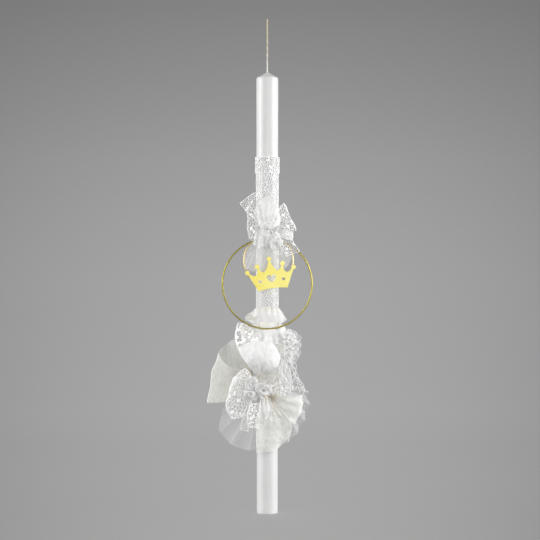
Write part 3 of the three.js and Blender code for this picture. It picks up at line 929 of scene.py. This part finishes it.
def crown_outline():
    neck = 0.36
    beside = np.array([CROWN_HALF, *CROWN_VALLEYS, -CROWN_HALF])
    stalks = np.angle((beside[:-1] + beside[1:]) / 2 - CROWN_BALLS)

    def rim(k, turn):
        return CROWN_BALLS[k] + CROWN_BALL_R * np.exp(1j * (stalks[k] + turn))

    points = [-CROWN_HALF, *bezier([-CROWN_HALF, 2j * CROWN_ARCH, CROWN_HALF], 24), rim(0, neck)]
    for k in range(len(CROWN_BALLS)):
        if k:
            leave, entry = rim(k - 1, -neck), rim(k, neck)
            points += [*bezier([leave, 2 * CROWN_VALLEYS[k - 1] - (leave + entry) / 2, entry], 16)]
        points += [*rim(k, np.linspace(neck, TAU - neck, 30)[1:])]
    return np.array(points)


def build_crown():
    """A cut-out plate with softened edges, made from its outline as a filled curve."""
    lo, hi = low("crown"), high("crown")
    curve = bpy.data.curves.new("crown_outline", "CURVE")
    curve.dimensions = "2D"
    curve.fill_mode = "BOTH"
    for points in (crown_outline(), heart(17j, 14.6), heart(18.5 + 14.2j, 6), heart(-18.5 + 14.2j, 6)):
        run = curve.splines.new("POLY")
        run.points.add(len(points) - 1)
        run.points.foreach_set("co", np.array([(p.real, p.imag, 0, 1) for p in points]).ravel())
        run.use_cyclic_u = True
    soft = 0.25
    thick = hi[1] - lo[1]
    curve.extrude = thick / 2 - soft
    curve.bevel_depth = soft
    curve.bevel_resolution = 2
    curve.offset = -soft
    drawn = show("crown_outline", curve)
    mesh = evaluated(drawn)
    flat = np.array([v.co for v in mesh.vertices])
    faces = [tuple(p.vertices) for p in mesh.polygons]
    bpy.data.objects.remove(drawn)
    spin = np.exp(1j * CROWN_TURN)
    turned = (flat[:, 0] + 1j * flat[:, 1]) * spin
    x = hi[0] - CROWN_BALL_R - (CROWN_BALLS[0] * spin).real + turned.real
    z = lo[2] + CROWN_HALF * spin.imag + turned.imag
    y = (lo[1] + hi[1]) / 2 - flat[:, 2]
    plate = np.stack([x, y, z], axis=1)
    piece = new_piece("crown_plate", plate, faces, GOLD_PLATE, "inner_ring", smooth=False)
    stand_for(outward(piece, 1e-6), "crown")


def build_glue():
    for k in (1, 2, 3):
        node = f"glue_dot_{k}"
        centre, half = middle(node), (high(node) - low(node)) / 2
        vertices, faces = ball((0, 0, 0), 1.0, 24, 14)
        ripple = np.array([1 + 0.1 * noise.noise(Vector(v) * 1.7 + Vector((k, k, k))) for v in vertices])
        vertices = centre + vertices * ripple[:, None] * half * np.array([1.0, 1.25, 1.0])
        solid(f"glue_dab_{k}", [(vertices, faces)], GLUE, node, "inner_ring")


# ---------------------------------------------------------------- upper bow
def build_upper_bow():
    build_knot("upper_knot", 9, 0.4)
    net("net_tail_left", UPPER, """
        -9 2 3, -15 2 1
        -5 5 34, -18 5 18
        -17 4 53, -27 3 30
        -43 -5 37, -34 -3 24
    """, 4.2, 0.85, "net", (3, 1.0, 0.3), (1.0, 1.6), fill_share=0.03, hems=RIM, seed=3)
    net("net_loop_left", UPPER, """
        -10 20 6, -10 20 -6
        -20 31 21, -19 32 -18
        -32 26 29, -30 26 -19
        -25 18 24, -22 19 -22
        -11 16 7, -11 17 -7
    """, 4.2, 0.85, "net", (4, 1.0, 0.4), (1.5, 1.0), looped=True, fill_share=0.04, hems=SIDES, seed=4)
    net("net_loop_right", UPPER, """
        9 11 8, 10 11 -1
        18 19 27, 30 19 -4
        27 9 36, 46 10 -7
        20 -1 29, 32 -2 -4
        9 1 9, 11 1 1
    """, 4.2, 0.85, "net", (4, 0.8, 0.4), (1.5, 1.0), looped=True, fill_share=0.03, hems=SIDES, seed=5)
    ribbon("organza_loop_right", UPPER, """
        13 21 -5, 12 21 -9
        28 25 -6, 26 25 -19
        41 21 -9, 40 21 -22
        28 17.5 -7, 26 17.5 -18
        13 17 -5, 12 17 -9
    """, WHITE, (3, 0.6, 0.4), (1.5, 0.5), looped=True, wires=SIDES, seed=6)
    ribbon("puff_left", UPPER, """
        -6 21 -8, 6 21 -8
        -14 31 4, 0 36 8, 14 31 4
        -16 30 27, 1 34 30, 17 30 26
        -13 19 41, 1 21 46, 14 19 42
        -9 17 22, 9 17 22
        -5 17 0, 5 17 0
    """, PUFF, (4, 0.5, 0.3), (2, 0.6), 1.0, looped=True, gather_reach=0.12, size=(84, 34), seed=7)
    ribbon("puff_right", UPPER, """
        -10 19 37, -8 24 40, -4 27 37
        -20 23 22, -14 32 25, -5 34 22
        -17 24 -1, -11 35 5, -3 36 12
        -2 24 -11, 0 36 -2, 3 37 8
        14 23 -7, 12 34 3, 6 35 12
        21 21 13, 16 31 17, 8 34 21
        13 18 41, 10 23 44, 6 26 39
    """, PUFF, (3, 0.4, 0.2), (3.5, 0.8), 1.6, gather_reach=0.02, size=(84, 30), seed=8)
    net("net_tail_right", UPPER, """
        13 28 1, 9 28 -7
        26 33 -1, 13 34 -19
        38 35 -21, 22 36 -34
        50 34 -40, 30 35 -48
    """, 3.8, 0.85, "net", (3, 0.8, 0.35), (1.5, 1.4), fill_share=0.1, hems=RIM, seed=9)
    net("net_tail_front", UPPER, """
        3 24 -9, 8 24 -9
        10 28 -26, 19 28 -28
        14 29 -45, 24 29 -44
    """, 3.6, 0.8, "net", (3, 0.6, 0.35), (1.5, 0.9), fill_share=0.1, hems=RIM, seed=10)
    ribbon("organza_tail_left", UPPER, """
        -15 28 -2, 0 33 -4, 14 29 -4
        -19 29 -14, 0 32 -15, 20 29 -15
        -22 28 -29, -11 30 -36, 0 29 -31, 11 30 -38, 24 28 -30
    """, PUFF, (6, 0.8, 0.6), (4.5, 1.2), 2.4, gather_reach=0.2, seed=11)
    ribbon("tulle_veil", UPPER, """
        -10 0.6 -8, -39 1.4 -46
        -7 0.6 -9, -29 1.4 -70
        5 0.6 -9, 24 1.4 -68
        10 0.6 -8, 40 1.4 -48
    """, (VEIL, "tulle"), (9, 0.45, 0.45), (5, 0.5), 0.3, fan=True,
           folds=(0.2, 0.3, 0.4, 0.48, 0.58, 0.66, 0.76), thickness=0.2, held="hung", size=(120, 26),
           seed=12)


# ---------------------------------------------------------------- lower bow
def build_first_bow():
    build_knot("lower_knot_1", 8, 1.1)
    ribbon("tulle_collar", FIRST, """
        -20 -11 100, -34 -6 82
        -11 -3 102, -18 0 74
        0 -1 103, 0 1.2 70
        11 -3 102, 17 0 74
        20 -11 100, 31 -6 82
    """, (ORGANZA_WHITE, "tulle"), (6, 0.6, 0.6), (5, 0.7), 0.7, fan=True, size=(110, 22), seed=13)
    ribbon("collar_loop", FIRST, """
        -20 1 86, -20 1 81
        -27 1.5 93, -27 1.5 80.5
        -34 1 88, -34 1 81
    """, (ORGANZA_IVORY, "organza_white"), (2, 0.3, 0.4), (1, 0.3), 0.2, wires=RIM, size=(30, 16),
           seed=14)
    net("picot_lace_loop", FIRST, """
        -22 8.5 8, -15 8.5 12
        -32 9.5 15, -11 9.5 22
        -43.5 9.5 33, -11 9.5 40
        -50 7.5 54, -11 7 56
        -46 2 78, -17 2 72
    """, 3.6, 0.9, "lace", (4, 0.8, 0.3), (1.5, 0.8), fill_share=0.32, hems=("low",),
           picots=("low", 3.0, 1.5), seed=15)
    ribbon("organza_ruffle", FIRST, """
        -44 -4 70, -36 4 26
        -26 -2 75, -24 6 30
        -8 1 79, -6 11 44
        10 1.5 79, 10 12.5 44
        20 0 77, 19 10 46
        30 -4 69, 28 6 48
    """, WHITE, (4, 0.8, 0.5), (4.5, 1.5), 1.4, fan=True, wires=("high",), size=(140, 26), seed=16)
    ribbon("white_petal", FIRST, """
        -17 19 -4, -12 20 -4, -7 19 -4
        -33 30 16, -12 36 21, 15 32 8
        -45 22 39, -22 28 48, 4 28 47, 21 24 29
        -36 16 31, -11 18 39, 13 17 26
        -17 13 10, -12 13 12, -6 13 10
    """, WHITE, (4, 0.8, 0.3), (2.5, 0.9), 1.2, looped=True, gather_reach=0.12, size=(96, 48), seed=17)
    ribbon("organza_puff_right", FIRST, """
        -21 8 -33, 16 8 -36
        -21 8 -18, 21 10 -18
        -16 10 2, 28 9 -3
        -2 12 22, 29 8 14
        1 11 42, 29 8 36
        5 6 60, 28 2 58
        8 0 66, 25 -3 67
    """, DENSE, (4, 0.9, 0.35), (3, 1.6), 1.2, wires=SIDES, gather_reach=0.2, size=(120, 44), seed=18)
    ribbon("ivory_loop_left", FIRST, """
        -24 14 0, -24 14 -13
        -43 18 6, -43 18 -38
        -62 19 12, -64 19 -16, -65 18 -46
        -76 5 30, -87 6 -2, -94 4 -49
        -66 -9 42, -74 -11 0, -78 -11 -46
        -51 -7 51, -51 -9 -40
        -31 1 36, -27 0 -24
        -23 4 6, -23 4 -8
    """, IVORY, (7, 1.3, 0.3), (2.0, 1.0), 0.7, looped=True, creases=(0.43,), size=(130, 44), seed=19)


CURL_THREADS = 14
STRIP_THREADS, KNOT_THREADS, HANGING_THREADS = 18, 22, 12


def strip_point(ribs, knot, along, across):
    grid = sheet_points(place(knot, ribs), [along], [across])
    return grid[0, 0]


def build_guipure():
    """Curled yarn along a band: each thread runs in small loops from one end to the other."""
    ribs = """
        21 12 62, 38 8 69
        26 13 50, 51 9 54
        29 14 34, 50 10 32
        26 14 18, 43 12 14
    """
    rng = random.Random(31)
    parts = []
    for thread in range(CURL_THREADS):
        phase, lane = rng.uniform(0, TAU), 0.1 + 0.05 * thread
        curls, size = rng.uniform(4, 7), rng.uniform(0.14, 0.3)
        path = []
        for t in np.linspace(0, 1, 240):
            angle = TAU * curls * t + phase + 1.1 * sin(9 * t + thread)
            across = min(max(lane + 0.15 * sin(5 * t + phase) + size * cos(angle), -0.08), 1.08)
            along = min(max(t + 0.05 * sin(angle), 0), 1)
            p = strip_point(ribs, FIRST, along, across)
            depth = 1.2 * sin(angle * 0.5 + phase) + 0.2 * (thread - 5)
            wander = noise.noise_vector(Vector(p) * 0.2)
            path.append(p + np.array([0, depth, 0]) + 1.6 * np.array(wander))
        parts.append(tube(path, rng.uniform(0.3, 0.42), 6))
    solid("guipure_curls", parts, WHITE_THREAD, "guipure_trim")


def build_threads():
    """Frayed yarn: a strip of wavy threads, with a few loose ends that stand off it."""
    ribs = """
        14 14 28, 27 13 37
        16 16 8, 34 15 8
        19 18 -12, 39 17 -12
        24 20 -33, 42 19 -32
    """
    rng = random.Random(37)
    parts = []
    for thread in range(STRIP_THREADS):
        lane, phase = (thread + 0.5) / STRIP_THREADS, rng.uniform(0, TAU)
        start, stop = rng.uniform(0, 0.1), rng.uniform(0.8, 1.0)
        path = []
        for t in np.linspace(start, stop, 60):
            sway = 0.13 * sin(TAU * 1.6 * t + phase) + 0.05 * sin(TAU * 6 * t + 2 * phase)
            p = strip_point(ribs, FIRST, t, min(max(lane + sway, 0), 1))
            path.append(p + np.array([0, 1.5 * sin(TAU * 3 * t + phase), 0]))
        parts.append(tube(path, rng.uniform(0.42, 0.7), 6))
    for k in range(KNOT_THREADS):
        turn = radians(rng.uniform(8, 112))
        start, stop = rng.uniform(2, 5), rng.uniform(16, 27)
        reach = np.linspace(start, stop, 24)
        bend = turn + 0.25 * np.sin(reach / 3.5 + k)
        out = FRONT + 22 + 1.5 * np.sin(reach / 4 + k)
        path = np.stack([5 + reach * np.cos(bend), -out, SECOND + 2 + reach * np.sin(bend)], axis=1)
        parts.append(tube(path, YARN_R, 6))
    for k in range(HANGING_THREADS):
        root = np.array([27 + 1.7 * k, -(FRONT + 13 + 0.3 * k), FIRST + 34 - 4.5 * k])
        drop = np.array([rng.uniform(-2, 14), rng.uniform(-3, 3), -rng.uniform(24, 42)])
        bow = np.array([rng.uniform(3, 12), rng.uniform(-2, 2), 2])
        steps = np.linspace(0, 1, 30)[:, None]
        path = root + drop * steps + bow * np.sin(pi * steps)
        path[:, 0] += 1.1 * np.sin(steps[:, 0] * 14 + k)
        parts.append(tube(path, YARN_R, 6))
    solid("frayed_yarn", parts, WHITE_THREAD, "thread_strip")


def rolled(centre, size, turns, start, rows=19):
    """Ribs of a ribbon loosely rolled into a rose that faces the front."""
    x, out, up = centre
    ribs = []
    for t in np.linspace(0, 1, rows):
        angle = start + TAU * turns * t
        loose = 1 + 0.16 * sin(2.3 * angle + x)
        reach, root = (0.24 + 0.76 * t) * loose, 0.04 + 0.22 * t
        across, upward = size[0] * cos(angle), size[1] * sin(angle)
        deep = (x + root * across, out - 0.5, up + root * upward)
        rise = (x + 0.8 * reach * across, out + 2 - 1.5 * t, up + 0.8 * reach * upward)
        rim = (x + reach * across, out + 1.5 - 3 * t, up + reach * upward)
        ribs.append([deep, rise, rim])
    return ribs


def build_second_bow():
    build_knot("lower_knot_2", 9, 2.3)
    ribbon("tulle_fan_left", SECOND, """
        -24 1 2, -70 -22 -22
        -23 1 -4, -77 -24 -53
        -18 1 -9, -58 -13 -77
        -14 1 -11, -30 -2 -86
        -8 1 -11, -9 1.5 -83
    """, (TULLE, "tulle"), (9, 1.0, 0.4), (4, 1.6), 0.7, fan=True, folds=(0.13, 0.3, 0.49, 0.76),
           thickness=0.2, size=(150, 34), seed=20)
    ribbon("tulle_ruffle_right", SECOND, """
        8 1 -12, 19 0 -79
        14 1 -9, 39 -8 -68
        19 1 -2, 57 -18 -43
        20 1 8, 66 -21 -8
        18 1 13, 59 -18 15
    """, (TULLE_FOLDED, "tulle"), (9, 1.0, 0.4), (5.5, 6.0), 2.2, fan=True, folds=(0.16, 0.4, 0.61),
           thickness=0.2, size=(200, 34), seed=21)
    net("crackle_net_loop", SECOND, """
        -21 30 23, -22 30 14, -21 30 5
        -34 37 45, -42 39 10, -33 36 -26
        -51 31 30, -64 31 -4, -57 30 -33
        -37 22.5 40, -46 22 6, -36 22 -24
        -21 22 23, -22 22 15, -21 22 7
    """, 4.5, 1.25, "net", (4, 1.0, 0.3), (1.5, 1.8), looped=True, hems=SIDES, fill_share=0.08,
           size=(90, 44), seed=22)
    ribbon("lace_tail", SECOND, """
        -32 41 -13, -26 41 -12
        -37 41 -26, -30 42 -28
        -42 38 -50, -29 40 -52
    """, (TULLE, "tulle"), (4, 0.9, 0.8), (3, 1.0), 0.5, thickness=0.2, wires=RIM, gather_reach=0.8,
           seed=23)
    for node, centre, size, start, seed in (
        ("rosette_top", (-23, 43, 23), (15, 13), 1.2, 24),
        ("rosette_left", (-26, 46, 5), (13, 11), 2.6, 25),
        ("rosette_right", (-5, 46, 12), (17, 14), 0.2, 26),
    ):
        ribbon(node, SECOND, rolled(centre, size, 1.7, start), WHITE, (3, 0.2, 0.6),
               (7, 1.2), 1.5, gather_reach=0.1, size=(150, 18), seed=seed)
    ribbon("satin_petal", SECOND, """
        -10 42 0, 4 42 0
        -13 44 -17, 9 44 -16
        -9 42 -38, 3 42 -32
    """, WHITE, (3, 0.9, 0.5), (1.5, 1.0), 0.6, size=(44, 24), seed=27)
    net("lace_scrap", SECOND, """
        -26 44 -8, -12 44 -8
        -31 46 -26, -12 46 -26
        -30 43 -44, -14 43 -48
    """, 3.2, 0.8, "lace", (3, 0.8, 0.4), (1.5, 1.0), fill_share=0.3, hems=("low",),
           picots=("end", 2.6, 1.2), seed=28)
    ribbon("ivory_fan_right", SECOND, """
        6 20 4, 6 20 0, 6 20 -4
        28 29 2, 27 30 -9, 18 30 -23
        54 27 3, 54 29 -17, 43 28 -42
        34 9 1, 34 8 -12, 28 9 -30
        8 10 2, 8 10 -1, 8 10 -4
    """, DENSE, (8, 0.6, 0.35), (2.5, 0.8), 0.7, looped=True, creases=(0.5,), gather_reach=0.25,
           size=(100, 48), seed=29)
    ribbon("ivory_panel", SECOND, """
        -8 33 -7, 8 33 -7
        -16 34 -32, 28 35 -27
        -17 32 -59, 38 33 -44
        -16 28 -87, 12 29 -82, 35 29 -60
    """, DENSE, (5, 0.9, 0.4), (2.0, 1.2), 0.9, wires=RIM, gather_reach=0.25, size=(80, 44), seed=30)


# ---------------------------------------------------------------- stage, lights and camera, in metres
CAMERA_DISTANCE = 2.75
VIEW_HEIGHT = 0.387
AIM_X = 0.0043
LENS = 115.2
FLOOR_FRONT, WALL_Y, WALL_TOP = -6.0, 3.2, 6.0
SWEEP_R, SWEEP_HALF = 1.2, 6.0
FLOOR_GAP = 0.0003
RAMP_START, RAMP_LENGTH = -1, 6
# How far back plus how high, and the glow of the paper there.
RAMP_STOPS = [
    (-0.25, 0.295), (0, 0.295), (0.3, 0.300), (0.68, 0.300), (1.1, 0.300), (1.43, 0.306), (2, 0.311),
    (2.72, 0.295), (3.22, 0.285), (3.56, 0.264), (3.88, 0.235), (4.18, 0.185), (4.4, 0.147), (4.5, 0.126),
]
# Name, place, aim, size and power of each lamp.
LAMPS = [
    ("left_strip", (-2.1, -0.45, 0.85), (0, 0, 0.45), (0.8, 1.5), 43),
    ("right_strip", (2.1, -0.45, 0.85), (0, 0, 0.45), (0.8, 1.5), 53),
    ("front_box", (0.2, -2.6, 0.45), (0, 0, 0.3), (1.6, 1.4), 26),
]
WORLD_COLOUR, WORLD_STRENGTH = (1.0, 1.0, 0.995, 1), 0.34


def build_camera():
    data = bpy.data.cameras.new("camera")
    data.lens = LENS
    data.sensor_width = 36
    camera = show("camera", data)
    camera.location = (AIM_X, -CAMERA_DISTANCE, VIEW_HEIGHT)
    camera.rotation_euler = (pi / 2, 0, 0)
    bpy.context.scene.camera = camera


def backdrop_material():
    """Grey paper with a painted glow in place of lamp light on it, darker towards the top and the sides, so
    that it looks even from every side.
    """
    look = Look("backdrop_paper")
    ahead = look.axis("Y")
    along = look.maths("ADD", ahead, look.axis("Z"))
    run = look.remap(along, RAMP_START, RAMP_START + RAMP_LENGTH, 0, 1)
    ramp = look.node("ShaderNodeValToRGB", {0: run})
    for k, (reach, grey) in enumerate(RAMP_STOPS):
        at = (reach - RAMP_START) / RAMP_LENGTH
        stop = ramp.color_ramp.elements[k] if k < 2 else ramp.color_ramp.elements.new(at)
        stop.position = at
        stop.color = (grey, grey, grey, 1)
    depth = look.maths("MAXIMUM", look.maths("ADD", ahead, CAMERA_DISTANCE), 0.6)
    aside = look.maths("DIVIDE", look.axis("X"), depth)
    # Painted shade: the glow fades towards the sides.
    falloff = look.remap(look.maths("MULTIPLY", aside, aside), 0, 0.03, 0, 0.27)
    edge = look.maths("ADD", falloff, look.remap(look.noise(3.0), 0.3, 0.7, 0.0, 0.01))
    look.surface(
        Emission_Color=look.blend(edge, ramp.outputs[0], (0.0, 0.0, 0.0)),
        Emission_Strength=1.0,
        Base_Color=look.blend(look.noise(40), (0.29, 0.29, 0.29), (0.31, 0.31, 0.31)),
        Roughness=0.95,
        Specular_IOR_Level=0.0,
    )
    return look.material


def build_stage():
    """A paper sweep: a floor that curves up into a wall."""
    profile = [(FLOOR_FRONT, 0.0), (WALL_Y - SWEEP_R, 0.0)]
    for a in np.linspace(0.05, pi / 2, 24):
        profile.append((WALL_Y - SWEEP_R + SWEEP_R * sin(a), SWEEP_R - SWEEP_R * cos(a)))
    profile.append((WALL_Y, WALL_TOP))
    vertices = [(x, y, z - FLOOR_GAP) for y, z in profile for x in (-SWEEP_HALF, SWEEP_HALF)]
    faces = [(2 * k, 2 * k + 1, 2 * k + 3, 2 * k + 2) for k in range(len(profile) - 1)]
    mesh = bpy.data.meshes.new("backdrop")
    mesh.from_pydata(vertices, [], faces)
    mesh.polygons.foreach_set("use_smooth", [True] * len(mesh.polygons))
    mesh.materials.append(backdrop_material())
    backdrop = show("backdrop", mesh)
    return backdrop


def area_light(name, place_at, aim, size, power, shaded):
    data = bpy.data.lights.new(name, "AREA")
    data.shape = "RECTANGLE"
    data.size, data.size_y = size
    data.energy = power
    lamp = show(name, data)
    lamp.location = place_at
    lamp.rotation_euler = (Vector(aim) - Vector(place_at)).to_track_quat("-Z", "Y").to_euler()
    lamp.light_linking.receiver_collection = shaded


def build_lights(backdrop):
    """Two strips and a front box that light the object alone, so that the backdrop stays even."""
    shaded = bpy.data.collections.new("lamps_skip")
    shaded.objects.link(backdrop)
    shaded.collection_objects[0].light_linking.link_state = "EXCLUDE"
    for lamp in LAMPS:
        area_light(*lamp, shaded)
    world = bpy.data.worlds.new("studio")
    world.use_nodes = True
    sky = world.node_tree.nodes["Background"]
    sky.inputs[0].default_value = WORLD_COLOUR
    sky.inputs[1].default_value = WORLD_STRENGTH
    bpy.context.scene.world = world
    bpy.context.scene.view_settings.view_transform = "Standard"


build_camera()
build_lights(build_stage())
build_candle()
build_wick()
build_sleeve()
for tie_node in ("upper_tie", "lower_tie_1", "lower_tie_2"):
    build_tie(tie_node)
build_upper_bow()
build_first_bow()
build_guipure()
build_threads()
build_second_bow()
outer_ring = build_hoop("outer_hoop", "outer_hoop_wire", GOLD_WIRE, "outer_ring")
inner_ring = build_hoop("inner_hoop", "inner_hoop_wire", PALE_GOLD_WIRE, "inner_ring")
build_hanger(outer_ring, inner_ring)
build_crown()
build_glue()
